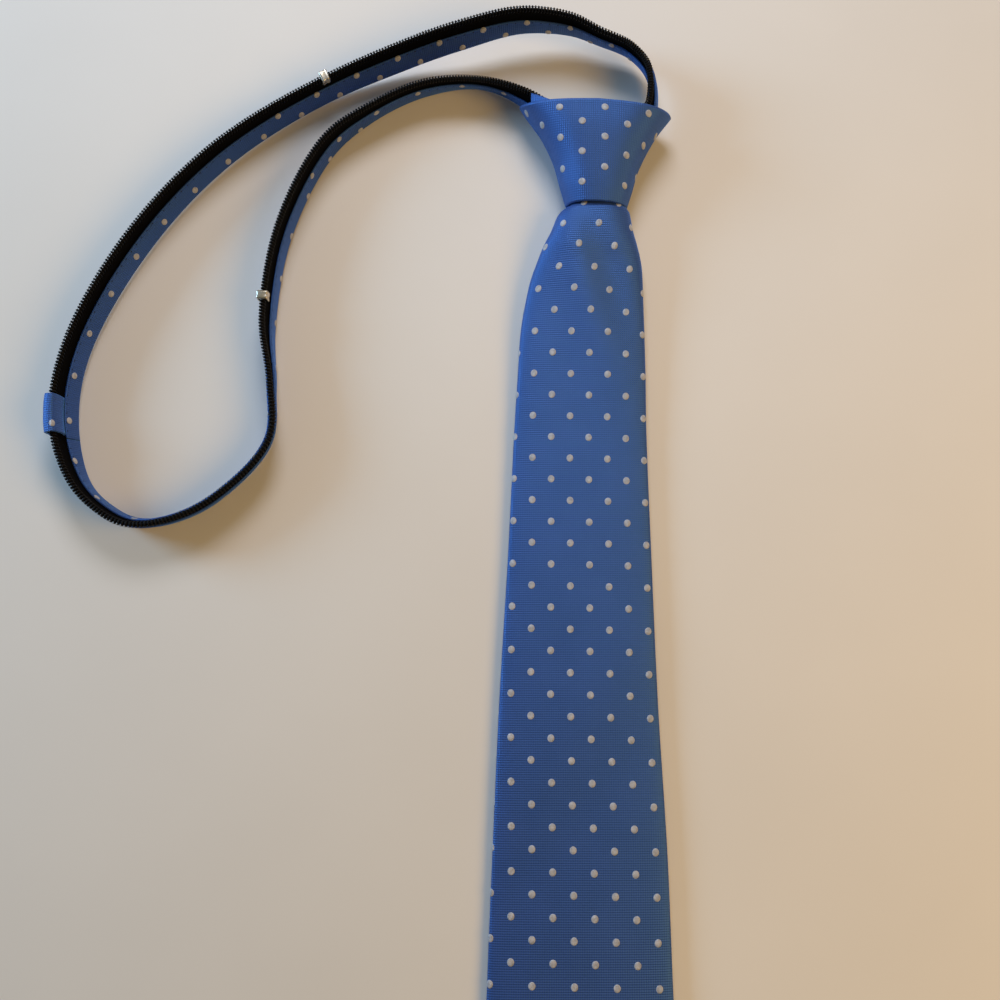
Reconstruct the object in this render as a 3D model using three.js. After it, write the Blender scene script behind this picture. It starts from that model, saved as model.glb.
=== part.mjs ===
// A ready-tied necktie whose neckband is a zip fastener, lying on a flat surface with its band standing on edge.
// Millimetres. +X is across the tie, +Y runs from the blade's tip to the knot, +Z is up from the surface.
// The origin is in the middle of the knot's flat back.

import * as THREE from 'three';

// Cloth and fits
const CLOTH = 1.4; // thickness of the folded tie cloth
const SEAT = 0.3; // gap kept between pieces that touch

// Knot
const KNOT_HEIGHT = 36.8;
const KNOT_TOP_WIDTH = 62;
const KNOT_BOTTOM_WIDTH = 25.2;
const KNOT_TOP_DEPTH = 26;
const KNOT_BOTTOM_DEPTH = 17.5;
const KNOT_TOP = 7.4; // y of the upper edge at the front
const KNOT_LEFT_RISE = 5.6; // how much higher the side fold stands at the left corner
const KNOT_RIGHT_RISE = 3.6; // the same at the right corner
const KNOT_RIGHT_DROP = 3; // how much lower the upper edge runs there
const KNOT_BACK_TUCK = 0.16; // share of its width that the back loses below the side folds
const KNOT_FOLD_RISE = 5; // how far the inner layer shows above the front edge at the left
const KNOT_FOLD_PLACE = 0.8; // where that fold is highest, as a share of the half-width
const KNOT_FOLD_SPREAD = 0.33; // how far it reaches each way, as the same share
const KNOT_HEM_RISE = 2.2; // how much higher the lower edge is at the back than at the front
const KNOT_HEM_BALANCE = 0.4; // share of that rise by which the front lies lower
const KNOT_HEM_SLOPE = 0.05; // rise of the lower edge towards the left
const KNOT_BACK_FLAT = 2.6; // how soon the back turns flat from the side folds
const KNOT_BACK_PULL = 0.6; // how much of the left corner's rise the back loses
const KNOT_WALL_POINTS = 32;
const KNOT_LEVELS = 9;

// Blade
const BLADE_LENGTH = 442; // from the knot's lower edge to the tip
const BLADE_WIDTH = 72; // across the shoulders of the tip
const BLADE_THICKNESS = 5.4; // where it lies flat
const BLADE_SWING = 10.5; // how far the blade drifts to the left of the knot's middle
const BLADE_INSERT = 5; // length held inside the knot
const BLADE_EDGE_HEIGHT = 0.42; // height of the side folds as a share of the depth
const BLADE_BACK_POWER = 0.35; // how sharply the back turns into the side folds
const BLADE_BACK_FLAT = 1.12; // how soon it is flat
const TIP_HEM = 9; // folded edge that shows on the back of the tip
const TIP_END = 3.4; // width of the blunt end of the tip
const BACK_SLIT = 0.8; // gap between the two back flaps
const FLAPS_PART = 2.4; // where the flaps begin to part, in half-widths from the tip
const FLAPS_SLOPE = 0.6; // how fast they part towards the tip
const TIP_ROWS = [2.4, 1.7, 1, 0.5, 0.25, 0]; // sections near the tip, in half-widths from it
const BLADE_FRONT_POINTS = 9; // on each half of the front
const BLADE_BACK_POINTS = 5; // on each back flap

// Neckband
const LOOP_WIDTH = 210; // from the knot's middle to the far side of the loop
const LOOP_HEIGHT = 200; // from the top of the loop to its lowest point
const LOOP_TOP = 45; // y of the route's top
const BAND_WIDTH = 16.5;
const TAPE_THICKNESS = 1;
const TRIM_HEIGHT = 8;
const TRIM_WALL = 1;
const TEETH_HEIGHT = 2.6;
const TEETH_THICKNESS = 2.5;
const TEETH_CHAMFER = 0.5; // as a share of the half-thickness
const BAND_STEP = 7; // length of one step of the swept band
const TWIST_LENGTH = 42; // of band that twists on its way through the knot
const TWIST_STEP = 3;
const ROUTE_DIVISIONS = 1200; // fineness of the route's length table

// Parts on the neckband
const STOP_LENGTH = 3.4;
const STOP_WALL = 0.6;
const STOP_RIGHT_PLACE = 194.6; // along the band from its end in the slider
const STOP_LEFT_PLACE = 204.6;
const KEEPER_PLACE = 376.2; // along the band from its right end, at the back of the neck
const KEEPER_LENGTH = 14.8;
const KEEPER_WALL = 1;
const KEEPER_PUFF = 1.1; // room between the keeper's cloth and the teeth
const KEEPER_LIFT = 0.7; // room below it for the hem of the flared trim
const KEEPER_BELLY = 0.4; // height at which the keeper is widest, as a share of its own
const KEEPER_CREST = 0.5; // width of its top, as a share of its widest
const TRIM_JOINT_SHIFT = 8.7; // from the tapes' joint to the trims' joint, towards the left half

// Slider
const SLIDER_WIDTH = 7.6;
const SLIDER_LENGTH = 7.4;
const SLIDER_HEIGHT = 4.2;
const SLIDER_TAPER = 0.6; // width of its narrow end, as a share of the other

const KNOT_BOTTOM = KNOT_TOP - KNOT_HEIGHT;
const TRIM_THICKNESS = TAPE_THICKNESS + 2 * (SEAT + TRIM_WALL);
const TAPE_TOP = BAND_WIDTH - TEETH_HEIGHT - SEAT;

// Knot levels from the lower edge up: half-width and depth go from the bottom's size (0) to the top's (1).
// corner is the height of the side folds, square the power of the front's curve across the width, and a section is
// sharper at the folds where round is nearer to 1.
const KNOT_ROWS = [
  { up: 0.0, half: 0.0, depth: 0.0, corner: 0.42, square: 2.4, round: 2.0 },
  { up: 0.15, half: 0.1, depth: 0.2, corner: 0.42, square: 2.5, round: 2.0 },
  { up: 0.42, half: 0.27, depth: 0.5, corner: 0.42, square: 2.8, round: 1.9 },
  { up: 0.75, half: 0.62, depth: 0.85, corner: 0.4, square: 3.4, round: 1.7 },
  { up: 1.0, half: 1.0, depth: 1.0, corner: 0.38, square: 4.0, round: 1.6 },
];

// Blade sections from the knot's lower edge to the tip. down and side are shares of the blade's length and swing,
// half of its half-width, depth of its thickness; crown is the roundness of the front, lift the back's height.
const BLADE_ROWS = [
  { down: 0.0, side: 0.0, half: 0.285, depth: 2.4, crown: 0.8, lift: 0.36 },
  { down: 0.005, side: 0.04, half: 0.372, depth: 2.66, crown: 0.82, lift: 0.33 },
  { down: 0.01, side: 0.1, half: 0.41, depth: 2.74, crown: 0.85, lift: 0.28 },
  { down: 0.024, side: 0.17, half: 0.461, depth: 2.75, crown: 0.85, lift: 0.2 },
  { down: 0.038, side: 0.24, half: 0.528, depth: 2.7, crown: 0.82, lift: 0.1 },
  { down: 0.054, side: 0.3, half: 0.589, depth: 2.5, crown: 0.8, lift: 0.0 },
  { down: 0.069, side: 0.39, half: 0.627, depth: 2.3, crown: 0.75, lift: 0.0 },
  { down: 0.084, side: 0.46, half: 0.65, depth: 2.1, crown: 0.7, lift: 0.0 },
  { down: 0.115, side: 0.56, half: 0.686, depth: 1.8, crown: 0.65, lift: 0.0 },
  { down: 0.154, side: 0.61, half: 0.705, depth: 1.5, crown: 0.55, lift: 0.0 },
  { down: 0.21, side: 0.69, half: 0.725, depth: 1.2, crown: 0.5, lift: 0.0 },
  { down: 0.317, side: 0.77, half: 0.769, depth: 1.05, crown: 0.42, lift: 0.0 },
  { down: 0.446, side: 0.88, half: 0.833, depth: 1.0, crown: 0.4, lift: 0.0 },
  { down: 0.57, side: 0.9, half: 0.897, depth: 1.0, crown: 0.4, lift: 0.0 },
  { down: 0.663, side: 0.95, half: 0.93, depth: 1.0, crown: 0.4, lift: 0.0 },
  { down: 0.8, side: 0.99, half: 0.97, depth: 1.0, crown: 0.4, lift: 0.0 },
  { down: 1.0, side: 1.0, half: 1.0, depth: 0.9, crown: 0.4, lift: 0.0 },
];

// The neckband's lower edge, from the knot's right side round the loop to its left side. x is a share of the
// loop's width, y of its height below its top, lift of the band's width; lean is outwards, in degrees, and flare is
// how much further the trim leans than the tape above it.
const LOOP_ROWS = [
  { x: 0.117, y: 0.085, lift: 0.24, lean: -15, flare: 0 },
  { x: 0.08, y: 0.032, lift: 0.3, lean: -17, flare: 0 },
  { x: 0.016, y: 0.004, lift: 0.4, lean: -16, flare: 1 },
  { x: -0.049, y: -0.017, lift: 0.5, lean: -10, flare: 4 },
  { x: -0.145, y: -0.021, lift: 0.58, lean: -7, flare: 14 },
  { x: -0.266, y: 0.005, lift: 0.47, lean: -6, flare: 28 },
  { x: -0.386, y: 0.035, lift: 0.16, lean: -7, flare: 31 },
  { x: -0.557, y: 0.112, lift: 0.0, lean: -10, flare: 28 },
  { x: -0.745, y: 0.257, lift: 0.0, lean: -5, flare: 29 },
  { x: -0.892, y: 0.45, lift: 0.0, lean: -1, flare: 29 },
  { x: -0.987, y: 0.673, lift: 0.0, lean: 2, flare: 20 },
  { x: -0.993, y: 0.819, lift: 0.0, lean: 9, flare: 12 },
  { x: -0.958, y: 0.937, lift: 0.0, lean: 5, flare: 2 },
  { x: -0.91, y: 0.986, lift: 0.0, lean: 7, flare: 0 },
  { x: -0.856, y: 1.011, lift: 0.0, lean: 10, flare: 0 },
  { x: -0.787, y: 1.002, lift: 0.0, lean: 11, flare: 0 },
  { x: -0.711, y: 0.959, lift: 0.0, lean: 13, flare: 0 },
  { x: -0.625, y: 0.854, lift: 0.0, lean: 15, flare: 0 },
  { x: -0.619, y: 0.744, lift: 0.0, lean: 8, flare: 0 },
  { x: -0.624, y: 0.614, lift: 0.0, lean: -3, flare: 0 },
  { x: -0.602, y: 0.417, lift: 0.0, lean: 0, flare: -7 },
  { x: -0.525, y: 0.234, lift: 0.0, lean: 4, flare: -9 },
  { x: -0.444, y: 0.151, lift: 0.0, lean: 14, flare: -10 },
  { x: -0.334, y: 0.093, lift: 0.0, lean: 18, flare: -8 },
  { x: -0.223, y: 0.084, lift: 0.05, lean: 22, flare: 0 },
];

// The band's route inside the knot: x is a share of half the knot's top width, y of its height below its top.
const RIGHT_ENTRY_ROWS = [
  { x: 0.39, y: 0.6, lift: 0.15, lean: -38 },
  { x: 0.39, y: 0.5, lift: 0.15, lean: -38 },
  { x: 0.51, y: 0.28, lift: 0.15, lean: -31 },
  { x: 0.68, y: 0.1, lift: 0.15, lean: -23 },
  { x: 0.78, y: -0.06, lift: 0.19, lean: -14 },
];
const LEFT_ENTRY_ROWS = [
  { x: -0.94, y: -0.33, lift: 0.08, lean: 9 },
  { x: -0.69, y: -0.05, lift: 0.11, lean: -10 },
  { x: -0.54, y: 0.18, lift: 0.12, lean: -24 },
  { x: -0.39, y: 0.46, lift: 0.14, lean: -38 },
  { x: -0.39, y: 0.6, lift: 0.15, lean: -38 },
];

const MATERIALS = {
  dotted_cloth: new THREE.MeshStandardMaterial({ color: 0x3b5f9e, roughness: 0.75, metalness: 0 }),
  trim_cloth: new THREE.MeshStandardMaterial({ color: 0x3a5c98, roughness: 0.8, metalness: 0 }),
  zip_tape: new THREE.MeshStandardMaterial({ color: 0x0c0c10, roughness: 0.85, metalness: 0 }),
  zip_coil: new THREE.MeshStandardMaterial({ color: 0x08080a, roughness: 0.4, metalness: 0 }),
  stop_metal: new THREE.MeshStandardMaterial({ color: 0xb9b2a2, roughness: 0.35, metalness: 1 }),
  slider_metal: new THREE.MeshStandardMaterial({ color: 0x1a1a1c, roughness: 0.45, metalness: 1 }),
};

// A column of a table at a place between its rows, on a smooth curve through them.
function columnAt(rows, key, column, place) {
  let k = 0;
  while (k < rows.length - 2 && place > rows[k + 1][key]) k += 1;
  const a = rows[k];
  const b = rows[k + 1];
  const span = b[key] - a[key];
  const before = rows[Math.max(k - 1, 0)];
  const after = rows[Math.min(k + 2, rows.length - 1)];
  const slopeA = (b[column] - before[column]) / (b[key] - before[key]);
  const slopeB = (after[column] - a[column]) / (after[key] - a[key]);
  const t = THREE.MathUtils.clamp((place - a[key]) / span, 0, 1);
  const h00 = (1 + 2 * t) * (1 - t) * (1 - t);
  const h10 = t * (1 - t) * (1 - t);
  const h01 = t * t * (3 - 2 * t);
  const h11 = t * t * (t - 1);
  return h00 * a[column] + h10 * span * slopeA + h01 * b[column] + h11 * span * slopeB;
}

// A closed surface through rings of equal point count. Each ring's points go round so that the surface faces out
// as the rings advance. caps holds the flat outlines of the first and last rings; without them the last ring joins
// the first, which makes a tube with a wall.
function skinRings(rings, caps) {
  const count = rings[0].length;
  const positions = rings.flat().flatMap((p) => [p.x, p.y, p.z]);
  const index = [];
  const steps = caps ? rings.length - 1 : rings.length;
  for (let k = 0; k < steps; k += 1) {
    const here = k * count;
    const next = ((k + 1) % rings.length) * count;
    for (let i = 0; i < count; i += 1) {
      const j = (i + 1) % count;
      index.push(here + i, next + i, next + j);
      index.push(here + i, next + j, here + j);
    }
  }
  if (caps) {
    const last = (rings.length - 1) * count;
    const [first, final] = caps.map((outline) => THREE.ShapeUtils.triangulateShape(outline, []));
    first.forEach(([a, b, c]) => index.push(a, b, c));
    final.forEach(([a, b, c]) => index.push(last + a, last + c, last + b));
  }
  const geometry = new THREE.BufferGeometry();
  geometry.setAttribute('position', new THREE.Float32BufferAttribute(positions, 3));
  geometry.setIndex(index);
  geometry.computeVertexNormals();
  return geometry;
}

function namedMesh(name, geometry, material) {
  const mesh = new THREE.Mesh(geometry, material);
  mesh.name = name;
  return mesh;
}

// Knot: one wall of cloth wrapped round, open above and below.
function knotSection(up, inset) {
  const level = (column) => columnAt(KNOT_ROWS, 'up', column, up);
  const half = THREE.MathUtils.lerp(KNOT_BOTTOM_WIDTH, KNOT_TOP_WIDTH, level('half')) / 2 - inset;
  const depth = THREE.MathUtils.lerp(KNOT_BOTTOM_DEPTH, KNOT_TOP_DEPTH, level('depth'));
  const corner = depth * level('corner');
  const section = [];
  for (let i = 0; i < KNOT_WALL_POINTS; i += 1) {
    const angle = (2 * Math.PI * i) / KNOT_WALL_POINTS;
    const across = Math.cos(angle);
    const x = half * across;
    const reach = Math.max(0, 1 - Math.abs(across) ** level('square')) ** (1 / level('round'));
    const front = corner + (depth - inset - corner) * reach;
    const back = corner - (corner - inset) * Math.min(1, reach * KNOT_BACK_FLAT);
    const isFront = i <= KNOT_WALL_POINTS / 2;
    const away = isFront ? (front - corner) / (depth - corner) : (KNOT_BACK_PULL * (corner - back)) / corner;
    const z = isFront ? front : back;
    const tuck = KNOT_BACK_TUCK * Math.max(0, 1 - z / corner);
    section.push({ x: x * (1 - tuck), z, half, depth, away });
  }
  return section;
}

function knotRing(up, inset) {
  return knotSection(up, inset).map(({ x, z, half, depth, away }) => {
    const left = THREE.MathUtils.clamp(-x / half, 0, 1);
    const low = 1 - z / depth;
    const right = THREE.MathUtils.clamp(x / half, 0, 1);
    const rise = (KNOT_LEFT_RISE * left + KNOT_RIGHT_RISE * right) * (1 - away);
    const top = KNOT_TOP + rise - KNOT_RIGHT_DROP * right;
    const inFold = Math.max(0, 1 - Math.abs(left - KNOT_FOLD_PLACE) / KNOT_FOLD_SPREAD);
    const fold = inset > 0 && z > depth / 2 ? KNOT_FOLD_RISE * inFold : 0;
    const bottom = KNOT_BOTTOM + KNOT_HEM_RISE * (low - KNOT_HEM_BALANCE) - KNOT_HEM_SLOPE * x;
    return new THREE.Vector3(x, THREE.MathUtils.lerp(bottom, top + fold, up), z);
  });
}

function buildKnot() {
  const outer = [];
  const inner = [];
  for (let k = 0; k <= KNOT_LEVELS; k += 1) {
    outer.push(knotRing(k / KNOT_LEVELS, 0));
    inner.unshift(knotRing(k / KNOT_LEVELS, CLOTH));
  }
  return namedMesh('knot', skinRings([...outer, ...inner]), MATERIALS.dotted_cloth);
}

// Blade: a folded tube, slit along the middle of its back. The outline goes round the outside from one flap's
// edge to the other's, and back along the inside.
function bladeOutline({ half, depth, crown, lift, slit }) {
  const corner = depth * BLADE_EDGE_HEIGHT;
  const wallPoint = (x, z, inset) => ({ x, z, inset });
  const side = (sign, inset) => {
    const width = half - inset;
    const points = [];
    for (let i = 0; i <= BLADE_BACK_POINTS; i += 1) {
      const angle = (Math.PI / 2) * (i / BLADE_BACK_POINTS);
      const x = slit + (width - slit) * Math.sin(angle);
      const drop = Math.min(1, Math.cos(angle) ** BLADE_BACK_POWER * BLADE_BACK_FLAT);
      points.push(wallPoint(sign * x, corner - (corner - inset) * drop, inset));
    }
    for (let i = 1; i <= BLADE_FRONT_POINTS; i += 1) {
      const angle = (Math.PI / 2) * (1 - i / BLADE_FRONT_POINTS);
      const rise = Math.cos(angle) ** crown;
      points.push(wallPoint(sign * width * Math.sin(angle), corner + (depth - inset - corner) * rise, inset));
    }
    return points;
  };
  const round = (inset) => [...side(1, inset), ...side(-1, inset).reverse().slice(1)];
  return [...round(0), ...round(CLOTH).reverse()].map((p) => new THREE.Vector2(p.x, p.z + lift));
}

function bladeSection(down) {
  const at = (column) => columnAt(BLADE_ROWS, 'down', column, down);
  const fromTip = (1 - down) * BLADE_LENGTH;
  const shoulder = BLADE_WIDTH / 2;
  const tipHalf = TIP_END / 2 + (shoulder - TIP_END / 2) * Math.min(1, fromTip / shoulder);
  const half = Math.min(at('half') * shoulder, tipHalf);
  const opening = (FLAPS_PART * shoulder - fromTip) * FLAPS_SLOPE;
  const slit = Math.max(BACK_SLIT / 2, Math.min(opening, half - TIP_HEM));
  const depth = at('depth') * BLADE_THICKNESS;
  const outline = bladeOutline({ half, depth, crown: at('crown'), lift: at('lift') * BLADE_THICKNESS, slit });
  return { outline, x: -at('side') * BLADE_SWING, y: KNOT_BOTTOM - down * BLADE_LENGTH };
}

function buildBlade() {
  const tipShare = BLADE_WIDTH / 2 / BLADE_LENGTH;
  const places = BLADE_ROWS.slice(0, -1).map((row) => row.down);
  const nearTip = TIP_ROWS.map((row) => 1 - row * tipShare);
  const sections = [...places, ...nearTip].map(bladeSection);
  const held = { ...sections[0], y: sections[0].y + BLADE_INSERT };
  const fromTip = [held, ...sections].reverse();
  const rings = fromTip.map(({ outline, x, y }) => outline.map((p) => new THREE.Vector3(x + p.x, y, p.y)));
  const caps = [fromTip[0].outline, held.outline];
  return namedMesh('blade', skinRings(rings, caps), MATERIALS.dotted_cloth);
}

// Neckband: a route for its lower edge, and frames that lean as the table says.
function bandRoute() {
  const inKnot = (row) => ({
    x: (row.x * KNOT_TOP_WIDTH) / 2,
    y: KNOT_TOP - row.y * KNOT_HEIGHT,
    lift: row.lift,
    lean: row.lean,
    flare: 0,
  });
  const inLoop = (row) => ({
    x: row.x * LOOP_WIDTH,
    y: LOOP_TOP - row.y * LOOP_HEIGHT,
    lift: row.lift,
    lean: row.lean,
    flare: row.flare,
  });
  const rows = [...RIGHT_ENTRY_ROWS.map(inKnot), ...LOOP_ROWS.map(inLoop), ...LEFT_ENTRY_ROWS.map(inKnot)];
  const points = rows.map((row) => new THREE.Vector3(row.x, row.y, row.lift * BAND_WIDTH));
  const curve = new THREE.CatmullRomCurve3(points, false, 'centripetal');
  curve.arcLengthDivisions = ROUTE_DIVISIONS;
  const leanCurve = new THREE.SplineCurve(rows.map((row, i) => new THREE.Vector2(i, row.lean)));
  const flareCurve = new THREE.SplineCurve(rows.map((row, i) => new THREE.Vector2(i, row.flare)));
  return { curve, leanCurve, flareCurve, length: curve.getLength() };
}

const ROUTE = bandRoute();

function directions(outward, lean) {
  const up = new THREE.Vector3(0, 0, 1);
  const across = outward.clone().multiplyScalar(Math.cos(lean)).addScaledVector(up, -Math.sin(lean));
  const along = outward.clone().multiplyScalar(Math.sin(lean)).addScaledVector(up, Math.cos(lean));
  return { across, along };
}

// The hem is where the trim ends on the tape, and where the band bends.
function bandFrame(distance) {
  const u = THREE.MathUtils.clamp(distance / ROUTE.length, 0, 1);
  const hem = ROUTE.curve.getPointAt(u);
  const tangent = ROUTE.curve.getTangentAt(u);
  const row = ROUTE.curve.getUtoTmapping(u);
  const lean = THREE.MathUtils.degToRad(ROUTE.leanCurve.getPoint(row).y);
  const trimLean = lean + THREE.MathUtils.degToRad(ROUTE.flareCurve.getPoint(row).y);
  const outward = new THREE.Vector3(tangent.y, -tangent.x, 0).normalize();
  hem.z = Math.max(hem.z, 0) + TRIM_THICKNESS * 0.5 * Math.abs(Math.sin(trimLean));
  hem.z += TRIM_HEIGHT * Math.cos(trimLean);
  hem.addScaledVector(outward, TRIM_HEIGHT * Math.sin(lean));
  return { hem, tape: directions(outward, lean), trim: directions(outward, trimLean) };
}

// A point u across the band and v up it from its lower edge.
function bandPoint(frame, u, v, inTrim = v < TRIM_HEIGHT) {
  const { across, along } = inTrim ? frame.trim : frame.tape;
  return frame.hem.clone().addScaledVector(across, u).addScaledVector(along, v - TRIM_HEIGHT);
}

// The places where every sweep turns, so that pieces inside one another stay clear. They are closer where the band
// twists on its way through the knot.
function bandPlaces() {
  const places = [];
  let place = 0;
  while (place < ROUTE.length) {
    places.push(place);
    const twisting = Math.min(place, ROUTE.length - place) < TWIST_LENGTH;
    place += twisting ? TWIST_STEP : BAND_STEP;
  }
  return places;
}

// Sweeps a closed outline, given as [across, up the band] pairs, between two places on the route.
function sweepBand(outline, start, end, inTrim) {
  const between = bandPlaces().filter((place) => place > start + SEAT && place < end - SEAT);
  const places = [start, ...between, end];
  const rings = places.map((place) => {
    const frame = bandFrame(place);
    return outline.map(([u, v]) => bandPoint(frame, u, v, inTrim));
  });
  const cap = outline.map(([u, v]) => new THREE.Vector2(u, v));
  return skinRings(rings, [cap, cap]);
}

function tapeOutline() {
  const half = TAPE_THICKNESS / 2;
  const bottom = TRIM_WALL + SEAT;
  return [
    [-half, bottom], [half, bottom], [half, TRIM_HEIGHT],
    [half, TAPE_TOP], [-half, TAPE_TOP], [-half, TRIM_HEIGHT],
  ];
}

function teethOutline() {
  const half = TEETH_THICKNESS / 2;
  const low = BAND_WIDTH - TEETH_HEIGHT;
  const chamfer = half * TEETH_CHAMFER;
  return [
    [-half, low + chamfer], [-chamfer, low], [chamfer, low], [half, low + chamfer],
    [half, BAND_WIDTH - chamfer], [chamfer, BAND_WIDTH], [-chamfer, BAND_WIDTH], [-half, BAND_WIDTH - chamfer],
  ];
}

// A strip folded over an edge: the outline of a channel with its inside half-width and wall.
function channelOutline(innerHalf, wall, closedAt, openAt) {
  const outer = innerHalf + wall;
  const inside = closedAt + wall * Math.sign(openAt - closedAt);
  const outline = [
    [-outer, closedAt], [outer, closedAt], [outer, openAt], [innerHalf, openAt],
    [innerHalf, inside], [-innerHalf, inside], [-innerHalf, openAt], [-outer, openAt],
  ];
  return openAt > closedAt ? outline : outline.reverse();
}

function trimOutline() {
  return channelOutline(TAPE_THICKNESS / 2 + SEAT, TRIM_WALL, 0, TRIM_HEIGHT);
}

function buildBandHalf(side, start, end, trimStart, trimEnd) {
  return [
    namedMesh(`tape_${side}`, sweepBand(tapeOutline(), start, end), MATERIALS.zip_tape),
    namedMesh(`teeth_${side}`, sweepBand(teethOutline(), start, end), MATERIALS.zip_coil),
    namedMesh(`trim_${side}`, sweepBand(trimOutline(), trimStart, trimEnd, true), MATERIALS.trim_cloth),
  ];
}

function buildStop(side, place) {
  const innerHalf = TEETH_THICKNESS / 2 + SEAT;
  const top = BAND_WIDTH + SEAT + STOP_WALL;
  const outline = channelOutline(innerHalf, STOP_WALL, top, TAPE_TOP - SEAT);
  const start = place - STOP_LENGTH / 2;
  const geometry = sweepBand(outline, start, start + STOP_LENGTH);
  return namedMesh(`stop_${side}`, geometry, MATERIALS.stop_metal);
}

// Keeper: a puffed sleeve over the black tape, from the trim's edge to above the teeth.
function buildKeeper() {
  const low = TRIM_HEIGHT + SEAT + KEEPER_LIFT;
  const neck = TAPE_THICKNESS / 2 + SEAT;
  const belly = TEETH_THICKNESS / 2 + SEAT;
  const top = BAND_WIDTH + KEEPER_PUFF;
  const widest = low + (top - low) * KEEPER_BELLY;
  const inside = [
    [neck, low], [belly, widest], [belly, top - belly], [belly * KEEPER_CREST, top],
    [-belly * KEEPER_CREST, top], [-belly, top - belly], [-belly, widest], [-neck, low],
  ];
  const outside = inside.map(([u, v]) => [
    u + Math.sign(u) * KEEPER_WALL,
    v === top ? v + KEEPER_WALL : v,
  ]);
  const start = KEEPER_PLACE - KEEPER_LENGTH / 2;
  const geometry = sweepBand([...outside, ...inside.reverse()], start, start + KEEPER_LENGTH);
  return namedMesh('keeper', geometry, MATERIALS.dotted_cloth);
}

// Slider: a plain block where the two rows of teeth come together in the knot.
function buildSlider() {
  const middle = BAND_WIDTH - TEETH_HEIGHT / 2;
  const right = bandPoint(bandFrame(0), 0, middle);
  const left = bandPoint(bandFrame(ROUTE.length), 0, middle);
  const centre = right.add(left).multiplyScalar(0.5);
  const shape = new THREE.Shape();
  const half = SLIDER_WIDTH / 2;
  shape.moveTo(-half, 0);
  shape.lineTo(-half * SLIDER_TAPER, -SLIDER_LENGTH);
  shape.lineTo(half * SLIDER_TAPER, -SLIDER_LENGTH);
  shape.lineTo(half, 0);
  const geometry = new THREE.ExtrudeGeometry(shape, { depth: SLIDER_HEIGHT, bevelEnabled: false });
  const mesh = namedMesh('slider', geometry, MATERIALS.slider_metal);
  mesh.position.set(centre.x, centre.y - 2 * SEAT, centre.z - SLIDER_HEIGHT / 2);
  return mesh;
}

const tie = new THREE.Group();
tie.add(buildKnot(), buildBlade());
const tapeJoint = SEAT / 2;
const trimJoint = KEEPER_PLACE + TRIM_JOINT_SHIFT;
tie.add(...buildBandHalf('right', 0, KEEPER_PLACE - tapeJoint, 0, trimJoint - tapeJoint));
tie.add(...buildBandHalf('left', KEEPER_PLACE + tapeJoint, ROUTE.length, trimJoint + tapeJoint, ROUTE.length));
tie.add(buildStop('right', STOP_RIGHT_PLACE), buildStop('left', ROUTE.length - STOP_LEFT_PLACE));
tie.add(buildKeeper(), buildSlider());

export default tie;
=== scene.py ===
# A ready-tied necktie with a zip-fastener neckband, lying on a pale table. Shapes are worked out in
# millimetres in the part's own frame, and scaled to metres when a mesh is made.

import math

import bpy
import numpy as np
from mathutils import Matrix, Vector

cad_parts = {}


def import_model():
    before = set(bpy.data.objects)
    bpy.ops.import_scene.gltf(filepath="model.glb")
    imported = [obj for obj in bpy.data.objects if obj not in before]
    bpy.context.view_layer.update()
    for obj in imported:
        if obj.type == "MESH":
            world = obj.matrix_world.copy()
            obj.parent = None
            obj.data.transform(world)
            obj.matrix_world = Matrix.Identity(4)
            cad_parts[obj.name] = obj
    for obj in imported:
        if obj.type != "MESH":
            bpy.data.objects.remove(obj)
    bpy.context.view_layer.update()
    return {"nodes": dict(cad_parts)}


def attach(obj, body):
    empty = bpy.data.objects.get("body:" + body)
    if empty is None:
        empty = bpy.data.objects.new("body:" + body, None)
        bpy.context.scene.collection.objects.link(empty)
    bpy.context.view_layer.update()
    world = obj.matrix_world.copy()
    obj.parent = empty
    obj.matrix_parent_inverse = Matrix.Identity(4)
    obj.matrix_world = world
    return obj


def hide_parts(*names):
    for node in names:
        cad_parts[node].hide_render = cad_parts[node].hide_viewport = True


MM = 0.001

# Driving sizes, the same as the part's
CLOTH = 1.4
SEAT = 0.3
KNOT_HEIGHT = 36.8
KNOT_TOP_WIDTH = 62
KNOT_BOTTOM_WIDTH = 25.2
KNOT_TOP_DEPTH = 26
KNOT_BOTTOM_DEPTH = 17.5
KNOT_TOP = 7.4
KNOT_BOTTOM = KNOT_TOP - KNOT_HEIGHT
KNOT_LEFT_RISE = 5.6
KNOT_RIGHT_RISE = 3.6
KNOT_RIGHT_DROP = 3
KNOT_BACK_TUCK = 0.16
KNOT_HEM_RISE = 2.2
KNOT_HEM_BALANCE = 0.4
KNOT_HEM_SLOPE = 0.05
KNOT_BACK_FLAT = 2.6
KNOT_BACK_PULL = 0.6
BLADE_LENGTH = 442
BLADE_WIDTH = 72
BLADE_THICKNESS = 5.4
BLADE_SWING = 10.5
BLADE_INSERT = 5
BLADE_EDGE_HEIGHT = 0.42
BLADE_BACK_POWER = 0.35
BLADE_BACK_FLAT = 1.12
TIP_HEM = 9
TIP_END = 3.4
BACK_SLIT = 0.8
FLAPS_PART = 2.4
FLAPS_SLOPE = 0.6
LOOP_WIDTH = 210
LOOP_HEIGHT = 200
LOOP_TOP = 45
BAND_WIDTH = 16.5
TAPE_THICKNESS = 1
TRIM_HEIGHT = 8
TRIM_WALL = 1
TRIM_THICKNESS = TAPE_THICKNESS + 2 * (SEAT + TRIM_WALL)
TEETH_HEIGHT = 2.6
TEETH_THICKNESS = 2.5
STOP_LENGTH = 3.4
STOP_WALL = 0.6
STOP_RIGHT_PLACE = 194.6
STOP_LEFT_PLACE = 204.6
KEEPER_PLACE = 376.2
KEEPER_LENGTH = 14.8
KEEPER_WALL = 1
KEEPER_PUFF = 1.1
KEEPER_LIFT = 0.7
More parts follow.
